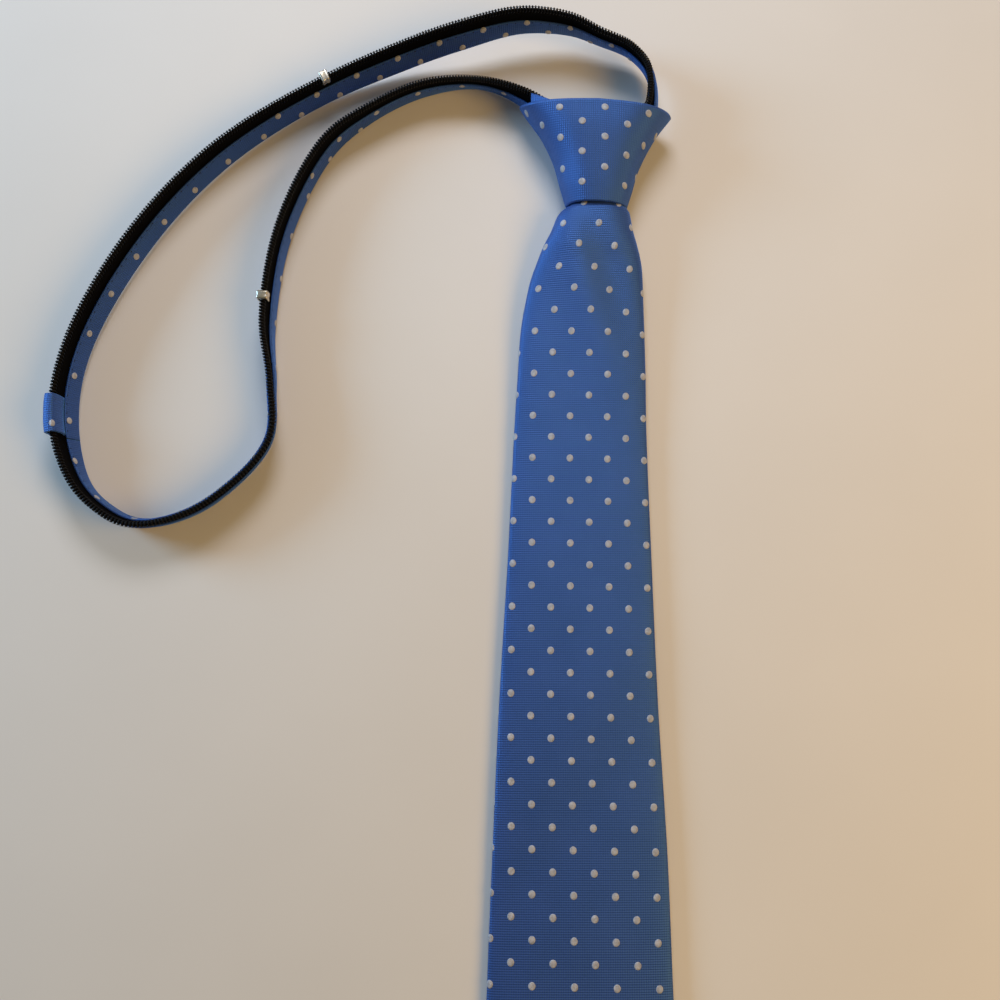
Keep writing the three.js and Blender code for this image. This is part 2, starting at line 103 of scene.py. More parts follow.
TRIM_JOINT_SHIFT = 8.7

# Finer sizes that only the looks have
COIL_PITCH = 1.27
COIL_WIRE = 0.3
STITCH_STEP = 3.6
STITCH_INSET = 0.8
DOT_WIDTH = 2.7
DOT_HEIGHT = 0.28
WEAVE_PITCH = 0.85

# Camera
CAMERA_PLACE = (-38.9, -213.2, 388.0)
CAMERA_TILT = 9.5
CAMERA_LENS = 36
CAMERA_SENSOR = 36


def table(names, *rows):
    return [dict(zip(names.split(), row)) for row in rows]


KNOT_ROWS = table(
    "up half depth corner square round",
    (0.0, 0.0, 0.0, 0.42, 2.4, 2.0),
    (0.15, 0.1, 0.2, 0.42, 2.5, 2.0),
    (0.42, 0.27, 0.5, 0.42, 2.8, 1.9),
    (0.75, 0.62, 0.85, 0.4, 3.4, 1.7),
    (1.0, 1.0, 1.0, 0.38, 4.0, 1.6),
)

BLADE_ROWS = table(
    "down side half depth crown lift",
    (0.0, 0.0, 0.285, 2.4, 0.8, 0.36),
    (0.005, 0.04, 0.372, 2.66, 0.82, 0.33),
    (0.01, 0.1, 0.41, 2.74, 0.85, 0.28),
    (0.024, 0.17, 0.461, 2.75, 0.85, 0.2),
    (0.038, 0.24, 0.528, 2.7, 0.82, 0.1),
    (0.054, 0.3, 0.589, 2.5, 0.8, 0.0),
    (0.069, 0.39, 0.627, 2.3, 0.75, 0.0),
    (0.084, 0.46, 0.65, 2.1, 0.7, 0.0),
    (0.115, 0.56, 0.686, 1.8, 0.65, 0.0),
    (0.154, 0.61, 0.705, 1.5, 0.55, 0.0),
    (0.21, 0.69, 0.725, 1.2, 0.5, 0.0),
    (0.317, 0.77, 0.769, 1.05, 0.42, 0.0),
    (0.446, 0.88, 0.833, 1.0, 0.4, 0.0),
    (0.57, 0.9, 0.897, 1.0, 0.4, 0.0),
    (0.663, 0.95, 0.93, 1.0, 0.4, 0.0),
    (0.8, 0.99, 0.97, 1.0, 0.4, 0.0),
    (1.0, 1.0, 1.0, 0.9, 0.4, 0.0),
)

LOOP_ROWS = table(
    "x y lift lean flare",
    (0.117, 0.085, 0.24, -15, 0),
    (0.08, 0.032, 0.3, -17, 0),
    (0.016, 0.004, 0.4, -16, 1),
    (-0.049, -0.017, 0.5, -10, 4),
    (-0.145, -0.021, 0.58, -7, 14),
    (-0.266, 0.005, 0.47, -6, 28),
    (-0.386, 0.035, 0.16, -7, 31),
    (-0.557, 0.112, 0.0, -10, 28),
    (-0.745, 0.257, 0.0, -5, 29),
    (-0.892, 0.45, 0.0, -1, 29),
    (-0.987, 0.673, 0.0, 2, 20),
    (-0.993, 0.819, 0.0, 9, 12),
    (-0.958, 0.937, 0.0, 5, 2),
    (-0.91, 0.986, 0.0, 7, 0),
    (-0.856, 1.011, 0.0, 10, 0),
    (-0.787, 1.002, 0.0, 11, 0),
    (-0.711, 0.959, 0.0, 13, 0),
    (-0.625, 0.854, 0.0, 15, 0),
    (-0.619, 0.744, 0.0, 8, 0),
    (-0.624, 0.614, 0.0, -3, 0),
    (-0.602, 0.417, 0.0, 0, -7),
    (-0.525, 0.234, 0.0, 4, -9),
    (-0.444, 0.151, 0.0, 14, -10),
    (-0.334, 0.093, 0.0, 18, -8),
    (-0.223, 0.084, 0.05, 22, 0),
)
RIGHT_ENTRY_ROWS = table(
    "x y lift lean",
    (0.39, 0.6, 0.15, -38),
    (0.39, 0.5, 0.15, -38),
    (0.51, 0.28, 0.15, -31),
    (0.68, 0.1, 0.15, -23),
    (0.78, -0.06, 0.19, -14),
)
LEFT_ENTRY_ROWS = table(
    "x y lift lean",
    (-0.94, -0.33, 0.08, 9),
    (-0.69, -0.05, 0.11, -10),
    (-0.54, 0.18, 0.12, -24),
    (-0.39, 0.46, 0.14, -38),
    (-0.39, 0.6, 0.15, -38),
)


def column_at(rows, key, column, place):
    """A column of a table at a place between its rows, on a smooth curve through them."""
    k = 0
    while k < len(rows) - 2 and place > rows[k + 1][key]:
        k += 1
    a, b = rows[k], rows[k + 1]
    before, after = rows[max(k - 1, 0)], rows[min(k + 2, len(rows) - 1)]
    span = b[key] - a[key]
    slope_a = (b[column] - before[column]) / (b[key] - before[key])
    slope_b = (after[column] - a[column]) / (after[key] - a[key])
    t = min(max((place - a[key]) / span, 0), 1)
    h00 = (1 + 2 * t) * (1 - t) ** 2
    h10 = t * (1 - t) ** 2
    h01 = t * t * (3 - 2 * t)
    h11 = t * t * (t - 1)
    return h00 * a[column] + h10 * span * slope_a + h01 * b[column] + h11 * span * slope_b


def smooth_step(low, high, x):
    t = np.clip((x - low) / (high - low), 0, 1)
    return t * t * (3 - 2 * t)


# Meshes

def arc_lengths(points):
    """Length along a line of points, from its first."""
    steps = np.linalg.norm(np.diff(points, axis=0), axis=1)
    return np.concatenate([[0], np.cumsum(steps)])


def make_mesh(name, points, faces, cloth=None, flat_faces=()):
    """A mesh in metres from points in mm. cloth gives each point's place on the unfolded cloth, in mm."""
    mesh = bpy.data.meshes.new(name)
    mesh.from_pydata((np.asarray(points) * MM).tolist(), [], faces)
    smooth = np.ones(len(mesh.polygons), bool)
    for k in flat_faces:
        smooth[k] = False
    mesh.polygons.foreach_set("use_smooth", smooth)
    if cloth is not None:
        corners = np.zeros(len(mesh.loops), np.int32)
        mesh.loops.foreach_get("vertex_index", corners)
        layer = mesh.uv_layers.new(name="Cloth")
        layer.uv.foreach_set("vector", np.asarray(cloth, np.float32)[corners].ravel())
    mesh.update()
    thing = bpy.data.objects.new(name, mesh)
    bpy.context.scene.collection.objects.link(thing)
    return thing


def grid_faces(rings, count):
    """Quads between closed rings of count points each."""
    faces = []
    for k in range(rings - 1):
        here, there = k * count, (k + 1) * count
        for i in range(count):
            j = (i + 1) % count
            faces.append((here + i, here + j, there + j, there + i))
    return faces


def flip_if_inside_out(thing):
    """Turns the faces out, judged by the volume that they enclose."""
    mesh = thing.data
    mesh.calc_loop_triangles()
    co = np.array([v.co[:] for v in mesh.vertices])
    tris = np.array([t.vertices[:] for t in mesh.loop_triangles])
    a, b, c = (co[tris[:, k]] for k in range(3))
    if (a * np.cross(b, c)).sum() < 0:
        mesh.flip_normals()


def skin(name, rings, cloth=None):
    """A closed surface through rings of points, with a flat cap on each of its two ends."""
    rings = np.asarray(rings)
    count = rings.shape[1]
    faces = grid_faces(len(rings), count)
    last = (len(rings) - 1) * count
    faces.append(tuple(reversed(range(count))))
    faces.append(tuple(last + i for i in range(count)))
    places = None if cloth is None else np.asarray(cloth).reshape(-1, 2)
    thing = make_mesh(name, rings.reshape(-1, 3), faces, places, (len(faces) - 2, len(faces) - 1))
    flip_if_inside_out(thing)
    return thing


# Neckband route

def centripetal(p, t):
    """A point between p[1] and p[2] on the centripetal Catmull-Rom curve through four points."""
    steps = [max(float(np.dot(b - a, b - a)) ** 0.25, 1e-9) for a, b in zip(p, p[1:])]
    d0, d1, d2 = steps
    t1 = ((p[1] - p[0]) / d0 - (p[2] - p[0]) / (d0 + d1) + (p[2] - p[1]) / d1) * d1
    t2 = ((p[2] - p[1]) / d1 - (p[3] - p[1]) / (d1 + d2) + (p[3] - p[2]) / d2) * d1
    c2 = -3 * p[1] + 3 * p[2] - 2 * t1 - t2
    c3 = 2 * p[1] - 2 * p[2] + t1 + t2
    return p[1] + t1 * t + c2 * t * t + c3 * t ** 3


def uniform_spline(values, place):
    """A value on the uniform Catmull-Rom curve through a list, at a place from 0 to 1."""
    p = (len(values) - 1) * place
    k = min(int(p), len(values) - 2)
    t = p - k
    a, b = values[max(k - 1, 0)], values[k]
    c, d = values[k + 1], values[min(k + 2, len(values) - 1)]
    v0, v1 = (c - a) / 2, (d - b) / 2
    return (2 * b - 2 * c + v0 + v1) * t ** 3 + (-3 * b + 3 * c - 2 * v0 - v1) * t * t + v0 * t + b


ROUTE_SAMPLES = 4800


def band_route():
    """The band's lower edge as dense samples: distance along it, points, directions, leans and flares."""
    half = KNOT_TOP_WIDTH / 2
    in_knot = lambda r: (r["x"] * half, KNOT_TOP - r["y"] * KNOT_HEIGHT, r["lift"] * BAND_WIDTH)
    in_loop = lambda r: (r["x"] * LOOP_WIDTH, LOOP_TOP - r["y"] * LOOP_HEIGHT, r["lift"] * BAND_WIDTH)
    places = [in_knot(r) for r in RIGHT_ENTRY_ROWS]
    places += [in_loop(r) for r in LOOP_ROWS]
    places += [in_knot(r) for r in LEFT_ENTRY_ROWS]
    knots = np.array(places)
    knots = np.vstack([2 * knots[0] - knots[1], knots, 2 * knots[-1] - knots[-2]])
    rows = RIGHT_ENTRY_ROWS + LOOP_ROWS + LEFT_ENTRY_ROWS
    leans = [r["lean"] for r in rows]
    flares = [r.get("flare", 0) for r in rows]
    spans = len(knots) - 3
    points, lean, flare = [], [], []
    for i in range(ROUTE_SAMPLES + 1):
        place = i / ROUTE_SAMPLES
        k = min(int(place * spans), spans - 1)
        points.append(centripetal(knots[k:k + 4], place * spans - k))
        lean.append(uniform_spline(leans, place))
        flare.append(uniform_spline(flares, place))
    points = np.array(points)
    heading = np.gradient(points, axis=0)
    heading /= np.linalg.norm(heading, axis=1)[:, None]
    return arc_lengths(points), points, heading, np.radians(lean), np.radians(flare)


ROUTE_AT, ROUTE_POINTS, ROUTE_HEADING, ROUTE_LEAN, ROUTE_FLARE = band_route()
ROUTE_LENGTH = ROUTE_AT[-1]


def band_frames(distances):
    """Points on the trim's hem line, with the across and along directions above it and below it."""
    pick = lambda values: np.stack([np.interp(distances, ROUTE_AT, v) for v in values.T], -1)
    hem = pick(ROUTE_POINTS)
    heading = pick(ROUTE_HEADING)
    lean = np.interp(distances, ROUTE_AT, ROUTE_LEAN)
    low_lean = lean + np.interp(distances, ROUTE_AT, ROUTE_FLARE)
    outward = np.stack([heading[:, 1], -heading[:, 0], 0 * lean], -1)
    outward /= np.linalg.norm(outward, axis=1)[:, None]
    hem[:, 2] = np.maximum(hem[:, 2], 0) + TRIM_THICKNESS / 2 * np.abs(np.sin(low_lean))
    hem[:, 2] += TRIM_HEIGHT * np.cos(low_lean)
    hem += TRIM_HEIGHT * np.sin(lean)[:, None] * outward
    up = np.array([0, 0, 1.0])
    frames = []
    for turn in (lean, low_lean):
        cos, sin = np.cos(turn)[:, None], np.sin(turn)[:, None]
        frames += [cos * outward - sin * up, sin * outward + cos * up]
    return [hem, *frames]


def sweep_points(distances, outlines, in_trim=False):
    """Places of outlines, (u across, v along) pairs one outline for each distance, on the band."""
    hem, across, along, low_across, low_along = band_frames(np.asarray(distances, float))
    outlines = np.asarray(outlines, float)
    if outlines.ndim == 2:
        outlines = np.broadcast_to(outlines, (len(hem), *outlines.shape))
    u, v = outlines[..., 0:1], outlines[..., 1:2]
    low = in_trim | (v < TRIM_HEIGHT)
    across = np.where(low, low_across[:, None], across[:, None])
    along = np.where(low, low_along[:, None], along[:, None])
    return hem[:, None] + u * across + (v - TRIM_HEIGHT) * along


def spaced(start, end, step):
    return np.linspace(start, end, max(2, int(round((end - start) / step)) + 1))


def round_outline(outline, radius, steps=3):
    """A closed outline with its corners rounded."""
    outline = np.asarray(outline, float)
    rounded = []
    for k, corner in enumerate(outline):
        before, after = outline[k - 1] - corner, outline[(k + 1) % len(outline)] - corner
        reach_a = min(radius, np.linalg.norm(before) * 0.45)
        reach_b = min(radius, np.linalg.norm(after) * 0.45)
        start = corner + before / np.linalg.norm(before) * reach_a
        end = corner + after / np.linalg.norm(after) * reach_b
        for i in range(steps + 1):
            t = i / steps
            rounded.append((1 - t) ** 2 * start + 2 * t * (1 - t) * corner + t * t * end)
    return np.array(rounded)


# Materials

def new_material(name):
    material = bpy.data.materials.new(name)
    material.use_nodes = True
    nodes, links = material.node_tree.nodes, material.node_tree.links
    return material, nodes, links, nodes["Principled BSDF"]


def set_inputs(node, values):
    for name, value in values.items():
        node.inputs[name].default_value = value


def math_node(nodes, links, operation, *values):
    node = nodes.new("ShaderNodeMath")
    node.operation = operation
    for k, value in enumerate(values):
        if isinstance(value, (int, float)):
            node.inputs[k].default_value = value
        else:
            links.new(value, node.inputs[k])
    return node.outputs[0]


def noise_node(nodes, links, place, scale, detail):
    noise = nodes.new("ShaderNodeTexNoise")
    set_inputs(noise, {"Scale": scale, "Detail": detail})
    links.new(place, noise.inputs["Vector"])
    return noise.outputs[0]


def color_ramp(nodes, links, factor, *stops):
    ramp = nodes.new("ShaderNodeValToRGB")
    while len(ramp.color_ramp.elements) < len(stops):
        ramp.color_ramp.elements.new(0.5)
    for element, (place, color) in zip(ramp.color_ramp.elements, stops):
        element.position = place
        element.color = (*color, 1)
    links.new(factor, ramp.inputs[0])
    return ramp.outputs[0]


def add_bump(nodes, links, shader, height, strength, distance):
    """Bumps of at most a distance in metres, which follow a height."""
    bump = nodes.new("ShaderNodeBump")
    set_inputs(bump, {"Strength": strength, "Distance": distance})
    links.new(height, bump.inputs["Height"])
    links.new(bump.outputs[0], shader.inputs["Normal"])


THREAD_WOBBLE = 0.1


def thread_waves(nodes, links, *pitches):
    """The Cloth map, which is in mm, and its threads' waves across it and along it, from -1 to 1."""
    uv = nodes.new("ShaderNodeUVMap")
    uv.uv_map = "Cloth"
    place = uv.outputs[0]
    uneven = noise_node(nodes, links, place, 0.9, 2)
    shift = math_node(nodes, links, "MULTIPLY", uneven, THREAD_WOBBLE)
    split = nodes.new("ShaderNodeSeparateXYZ")
    links.new(place, split.inputs[0])
    waves = []
    for way, pitch in zip(split.outputs, pitches):
        shifted = math_node(nodes, links, "ADD", way, shift)
        turns = math_node(nodes, links, "MULTIPLY", shifted, 2 * math.pi / pitch)
        waves.append(math_node(nodes, links, "SINE", turns))
    return place, *waves


DARK_BLUE = (0.0095, 0.02, 0.095)
LIGHT_BLUE = (0.036, 0.062, 0.235)
# The cloth mirrors light and glows at grazing angles in azure only.
MIRROR_TINT = (0.14, 0.4, 1, 1)
SHEEN_TINT = (0.1, 0.33, 1, 1)
CROSS_THREAD_SHARE = 0.45
CLOTHS = table(
    "name roughness rib_along",
    ("blade_cloth_blue", 0.5, "V"),
    ("knot_cloth_blue", 0.5, "U"),
    ("trim_cloth_blue", 0.55, "V"),
)


def rib_cloth(name, roughness, rib_along):
    """Blue tie cloth in fine ribs: darker between its threads, and clouded a little."""
    material, nodes, links, shader = new_material(name)
    place, wave_u, wave_v = thread_waves(nodes, links, WEAVE_PITCH, WEAVE_PITCH)
    rib, cross = (wave_v, wave_u) if rib_along == "V" else (wave_u, wave_v)
    height = math_node(nodes, links, "MULTIPLY_ADD", cross, CROSS_THREAD_SHARE, rib)
    level = math_node(nodes, links, "MULTIPLY_ADD", height, 0.3, 0.5)
    broad = noise_node(nodes, links, place, 0.05, 3)
    fine = noise_node(nodes, links, place, 1.6, 4)
    both = math_node(nodes, links, "ADD", broad, fine)
    clouds = math_node(nodes, links, "MULTIPLY", both, 0.35)
    factor = math_node(nodes, links, "MULTIPLY_ADD", level, 0.55, clouds)
    color = color_ramp(nodes, links, factor, (0.25, DARK_BLUE), (0.95, LIGHT_BLUE))
    links.new(color, shader.inputs["Base Color"])
    set_inputs(shader, {"Roughness": roughness, "IOR": 1.9})
    set_inputs(shader, {"Specular IOR Level": 1.0, "Specular Tint": MIRROR_TINT})
    set_inputs(shader, {"Sheen Weight": 0.8, "Sheen Roughness": 0.4, "Sheen Tint": SHEEN_TINT})
    add_bump(nodes, links, shader, height, 0.3, 0.0002)
    return material


def dot_satin():
    """Pale satin thread, in fine ridges."""
    material, nodes, links, shader = new_material("dot_satin")
    place, ridges, _ = thread_waves(nodes, links, 0.42, 0.6)
    uneven = noise_node(nodes, links, place, 0.7, 2)
    fade = math_node(nodes, links, "MULTIPLY_ADD", ridges, 0.16, uneven)
    color = color_ramp(nodes, links, fade, (0.2, (0.25, 0.27, 0.32)), (0.8, (0.52, 0.53, 0.57)))
    links.new(color, shader.inputs["Base Color"])
    set_inputs(shader, {"Roughness": 0.42, "Sheen Weight": 0.2})
    add_bump(nodes, links, shader, ridges, 0.5, 0.00015)
    return material


def woven_tape():
    """Black zip tape, woven in fine checks."""
    material, nodes, links, shader = new_material("woven_tape")
    _, wave_u, wave_v = thread_waves(nodes, links, 0.9, 0.7)
    height = math_node(nodes, links, "MULTIPLY", wave_u, wave_v)
    color = color_ramp(nodes, links, height, (0.0, (0.001, 0.001, 0.0015)), (1.0, (0.003, 0.003, 0.004)))
    links.new(color, shader.inputs["Base Color"])
    set_inputs(shader, {"Roughness": 0.95, "Specular IOR Level": 0.06})
    add_bump(nodes, links, shader, height, 0.5, 0.0002)
    return material


GRAINY_FINISHES = table(
    "name dark light roughness metallic specular scale",
    ("coil_black", (0.001, 0.001, 0.0015), (0.003, 0.003, 0.004), 0.5, 0.0, 0.15, 900),
    ("thread_black", (0.002, 0.002, 0.002), (0.006, 0.005, 0.004), 0.8, 0.0, 0.1, 900),
    # Trim stitch thread, darker than the trim's blue: painted shade of the needle marks along the hem.
    ("thread_dark", (0.004, 0.012, 0.04), (0.01, 0.025, 0.08), 0.8, 0.0, 0.5, 900),
    ("stop_metal_worn", (0.55, 0.46, 0.3), (0.8, 0.76, 0.68), 0.3, 1.0, 0.5, 500),
    ("slider_black", (0.01, 0.01, 0.012), (0.02, 0.02, 0.022), 0.4, 0.6, 0.5, 900),
)


def grainy_finish(name, dark, light, roughness, metallic, specular, scale):
    """A plain finish with a fine uneven grain, for thread, coil and metal."""
    material, nodes, links, shader = new_material(name)
    place = nodes.new("ShaderNodeTexCoord").outputs["Object"]
    grain = noise_node(nodes, links, place, scale, 4)
    links.new(color_ramp(nodes, links, grain, (0.3, dark), (0.7, light)), shader.inputs["Base Color"])
    set_inputs(shader, {"Roughness": roughness, "Metallic": metallic, "Specular IOR Level": specular})
    add_bump(nodes, links, shader, grain, 0.1, 0.0001)
    return material


def table_finish():
    """The pale table: matt paint with faint clouding."""
    material, nodes, links, shader = new_material("table_finish")
    place = nodes.new("ShaderNodeTexCoord").outputs["Object"]
    clouds = noise_node(nodes, links, place, 6, 5)
    color = color_ramp(nodes, links, clouds, (0.3, (0.66, 0.64, 0.6)), (0.7, (0.7, 0.68, 0.64)))
    links.new(color, shader.inputs["Base Color"])
    set_inputs(shader, {"Roughness": 0.8, "Specular IOR Level": 0.2})
    return material


def all_finishes():
    """Every material of the tie by its name."""
    finishes = {row["name"]: rib_cloth(**row) for row in CLOTHS}
    finishes["dot_satin"] = dot_satin()
    finishes["woven_tape"] = woven_tape()
    for row in GRAINY_FINISHES:
        finishes[row["name"]] = grainy_finish(**row)
    return finishes


# Pieces

def finish_piece(thing, material, slot, *replaced):
    thing.data.materials.append(material)
    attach(thing, "root")
    if replaced:
        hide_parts(*replaced)
    return thing


BLADE_BACK_POINTS = 16
BLADE_FRONT_POINTS = 34
BLADE_STEP = 3.0
# The blade's sections lie closer over this share of its length, at the knot.
BLADE_NECK = 0.08
BLADE_NECK_SECTIONS = 21
# How the section's points crowd towards its side folds
BACK_CROWDING = 0.6
FRONT_CROWDING = 1.8
# The dents fade in over this share of the blade's height, above its edges.
DENTS_FADE = 0.5
# Soft dents on the front of the blade: place across as a share of the half-width, distance from the knot,
# reach across and along, turn in degrees, and depth.
BLADE_DENTS = table(
    "across down wide long turn depth",
    (0.3, 24, 7, 28, -22, 1.5),
    (-0.12, 30, 6, 30, -22, -0.8),
    (-0.3, 60, 10, 30, -15, 0.5),
    (-0.35, 250, 16, 60, 35, 0.55),
    (0.3, 200, 16, 55, 30, -0.4),
    (0.2, 330, 18, 50, -25, 0.35),
)


def blade_values(down):
    """The section's sizes at a share of the blade's length."""
    at = {c: column_at(BLADE_ROWS, "down", c, down) for c in ("side", "half", "depth", "crown", "lift")}
    from_tip = (1 - down) * BLADE_LENGTH
    shoulder = BLADE_WIDTH / 2
    tip_half = TIP_END / 2 + (shoulder - TIP_END / 2) * min(1, from_tip / shoulder)
    half = min(at["half"] * shoulder, tip_half)
    opening = (FLAPS_PART * shoulder - from_tip) * FLAPS_SLOPE
    slit = max(BACK_SLIT / 2, min(opening, half - TIP_HEM))
    return {**at, "half": half, "slit": slit, "depth": at["depth"] * BLADE_THICKNESS,
            "lift": at["lift"] * BLADE_THICKNESS, "from_knot": down * BLADE_LENGTH}


def dents(x, half, from_knot):
    total = 0 * x
    for row in BLADE_DENTS:
        turn = math.radians(row["turn"])
        dx, dy = x - row["across"] * half, from_knot - row["down"]
        a = (dx * math.cos(turn) + dy * math.sin(turn)) / row["wide"]
        b = (-dx * math.sin(turn) + dy * math.cos(turn)) / row["long"]
        total = total - row["depth"] * np.exp(-a * a - b * b)
    return total


def blade_half_outline(s, inset):
    """Half of the folded tube, from the slit at the back round the side fold to the middle of the front."""
    corner = s["depth"] * BLADE_EDGE_HEIGHT
    width = s["half"] - inset
    back = np.linspace(0, 1, BLADE_BACK_POINTS) ** BACK_CROWDING * math.pi / 2
    front = math.pi / 2 * (1 - np.linspace(0, 1, BLADE_FRONT_POINTS) ** FRONT_CROWDING)[1:]
    drop = np.minimum(1, np.maximum(np.cos(back), 0) ** BLADE_BACK_POWER * BLADE_BACK_FLAT)
    back_x = s["slit"] + (width - s["slit"]) * np.sin(back)
    back_z = corner - (corner - inset) * drop
    front_x = width * np.sin(front)
    front_z = corner + (s["depth"] - inset - corner) * np.cos(front) ** s["crown"]
    return np.concatenate([back_x, front_x]), np.concatenate([back_z, front_z])


def blade_ring(s, inset):
    """The whole section with its dents, from one edge of the slit to the other."""
    x, z = blade_half_outline(s, inset)
    x = np.concatenate([x, -x[::-1][1:]])
    z = np.concatenate([z, z[::-1][1:]])
    on_front = smooth_step(0, 1, (z / s["depth"] - BLADE_EDGE_HEIGHT) / DENTS_FADE)
    z = z + on_front * dents(x, s["half"], s["from_knot"]) + s["lift"]
    return x, z


def build_blade(cloth):
    """The blade as one folded tube with a slit back. Returns its outer surface and cloth map for the dots."""
    neck = np.linspace(0, BLADE_NECK, BLADE_NECK_SECTIONS + 1)[:-1]
    downs = np.concatenate([neck, spaced(BLADE_NECK, 1, BLADE_STEP / BLADE_LENGTH)])
    rings, maps = [], []
    for down in downs:
        s = blade_values(down)
        y = KNOT_BOTTOM - s["from_knot"]
        shift = -s["side"] * BLADE_SWING
        outer, inner = blade_ring(s, 0), blade_ring(s, CLOTH)
        x = np.concatenate([outer[0], inner[0][::-1]]) + shift
        z = np.concatenate([outer[1], inner[1][::-1]])
        rings.append(np.stack([x, 0 * x + y, z], -1))
        round_it = arc_lengths(np.stack(outer, -1))
        u = round_it[len(round_it) // 2] - round_it
        maps.append(np.stack([np.concatenate([u, u[::-1]]), np.full(2 * len(u), s["from_knot"])], -1))
    held, held_map = rings[0].copy(), maps[0].copy()
    held[:, 1] += BLADE_INSERT
    held_map[:, 1] -= BLADE_INSERT
    rings, maps = np.array([held, *rings]), np.array([held_map, *maps])
    finish_piece(skin("blade_cloth", rings, maps), cloth, "dotted_cloth", "blade")
    outside = rings.shape[1] // 2
    return rings[:, :outside], maps[:, :outside]


KNOT_POINTS = 176
KNOT_LEVELS = 44
RIM_STEPS = 4
# The section's points shift towards its two side folds.
KNOT_CROWDING = 0.24


def knot_ring(up, inset, lift=0.0):
    """A ring of the knot's shell at a share of its height, inset from the outside."""
    at = {c: column_at(KNOT_ROWS, "up", c, up) for c in ("half", "depth", "corner", "square", "round")}
    half = (KNOT_BOTTOM_WIDTH + (KNOT_TOP_WIDTH - KNOT_BOTTOM_WIDTH) * at["half"]) / 2 - inset
    depth = KNOT_BOTTOM_DEPTH + (KNOT_TOP_DEPTH - KNOT_BOTTOM_DEPTH) * at["depth"]
    corner = depth * at["corner"]
    even = np.arange(KNOT_POINTS) / KNOT_POINTS * 2 * math.pi
    angle = even - KNOT_CROWDING * np.sin(2 * even)
    across = np.cos(angle)
    reach = np.maximum(0, 1 - np.abs(across) ** at["square"]) ** (1 / at["round"])
    front = corner + (depth - inset - corner) * reach
    back = corner - (corner - inset) * np.minimum(1, reach * KNOT_BACK_FLAT)
    is_front = np.arange(KNOT_POINTS) <= KNOT_POINTS / 2
    away = np.where(is_front, (front - corner) / (depth - corner), KNOT_BACK_PULL * (corner - back) / corner)
    z = np.where(is_front, front, back)
    x = half * across * (1 - KNOT_BACK_TUCK * np.maximum(0, 1 - z / corner))
    left, right = np.clip(-x / half, 0, 1), np.clip(x / half, 0, 1)
    rise = (KNOT_LEFT_RISE * left + KNOT_RIGHT_RISE * right) * (1 - away)
    top = KNOT_TOP + rise - KNOT_RIGHT_DROP * right
    low = 1 - z / depth
    bottom = KNOT_BOTTOM + KNOT_HEM_RISE * (low - KNOT_HEM_BALANCE) - KNOT_HEM_SLOPE * x
    return np.stack([x, bottom + (top - bottom) * up + lift, z], -1)


def build_knot(cloth):
    """The knot: one wall of cloth with rolled rims, open above and below. Returns its front for the dots."""
    levels = np.linspace(0, 1, KNOT_LEVELS)
    rings = [knot_ring(up, 0) for up in levels]
    rim = CLOTH / 2
    turns = [math.pi * i / (RIM_STEPS + 1) for i in range(1, RIM_STEPS + 1)]
    for turn in turns:
        rings.append(knot_ring(1, rim * (1 - math.cos(turn)), rim * math.sin(turn)))
    rings += [knot_ring(up, CLOTH) for up in levels[::-1]]
    for turn in reversed(turns):
        rings.append(knot_ring(0, rim * (1 - math.cos(turn)), -rim * math.sin(turn)))
    rings.append(rings[0])
    front = KNOT_POINTS // 4
    maps = []
    for ring in rings:
        round_it = arc_lengths(np.vstack([ring, ring[:1]])[:, [0, 2]])[:-1]
        maps.append(np.stack([round_it[front] - round_it, np.full(KNOT_POINTS, ring[front, 1])], -1))
    rings, maps = np.array(rings), np.array(maps)
    count = KNOT_POINTS
    faces = grid_faces(len(rings) - 1, count)
    last = (len(rings) - 2) * count
    faces += [(last + i, last + (i + 1) % count, (i + 1) % count, i) for i in range(count)]
    knot = make_mesh("knot_cloth", rings[:-1].reshape(-1, 3), faces, maps[:-1].reshape(-1, 2))
    flip_if_inside_out(knot)
    finish_piece(knot, cloth, "dotted_cloth", "knot")
    half = KNOT_POINTS // 2 + 1
    return rings[:KNOT_LEVELS, :half], maps[:KNOT_LEVELS, :half]


FOLD_START = -26.4
FOLD_END = -16.2
FOLD_RISE = 5.0
FOLD_SINK = 1.6
FOLD_WALL = 0.8
FOLD_INSET = 0.2
FOLD_DROP = 0.3
FOLD_SLOPE = 0.12
FOLD_STEPS = 30
FOLD_POINTS = 12


def build_knot_fold(cloth):
    """The corner of the inner layer that shows above the knot's left rim."""
    rim = knot_ring(1, CLOTH + FOLD_INSET)
    front = rim[:KNOT_POINTS // 2 + 1]
    xs = np.linspace(FOLD_START, FOLD_END, FOLD_STEPS)
    order = np.argsort(front[:, 0])
    y = np.interp(xs, front[order, 0], front[order, 1])
    z = np.interp(xs, front[order, 0], front[order, 2])
    rise = FOLD_RISE * ((FOLD_END - xs) / (FOLD_END - FOLD_START)) ** 1.1
    rings, maps = [], []
    for k, x in enumerate(xs):
        along = np.linspace(-FOLD_SINK, rise[k], FOLD_POINTS)
        outer = np.stack([0 * along + x, y[k] + along, z[k] - FOLD_DROP + FOLD_SLOPE * along], -1)
        inner = outer - np.array([0, 0, FOLD_WALL])
        rings.append(np.concatenate([outer, inner[::-1]]))
        maps.append(np.stack([np.full(2 * FOLD_POINTS, x), np.concatenate([along, along[::-1]])], -1))
    finish_piece(skin("knot_fold", rings, maps), cloth, "dotted_cloth")


BAND_STEP = 2.0


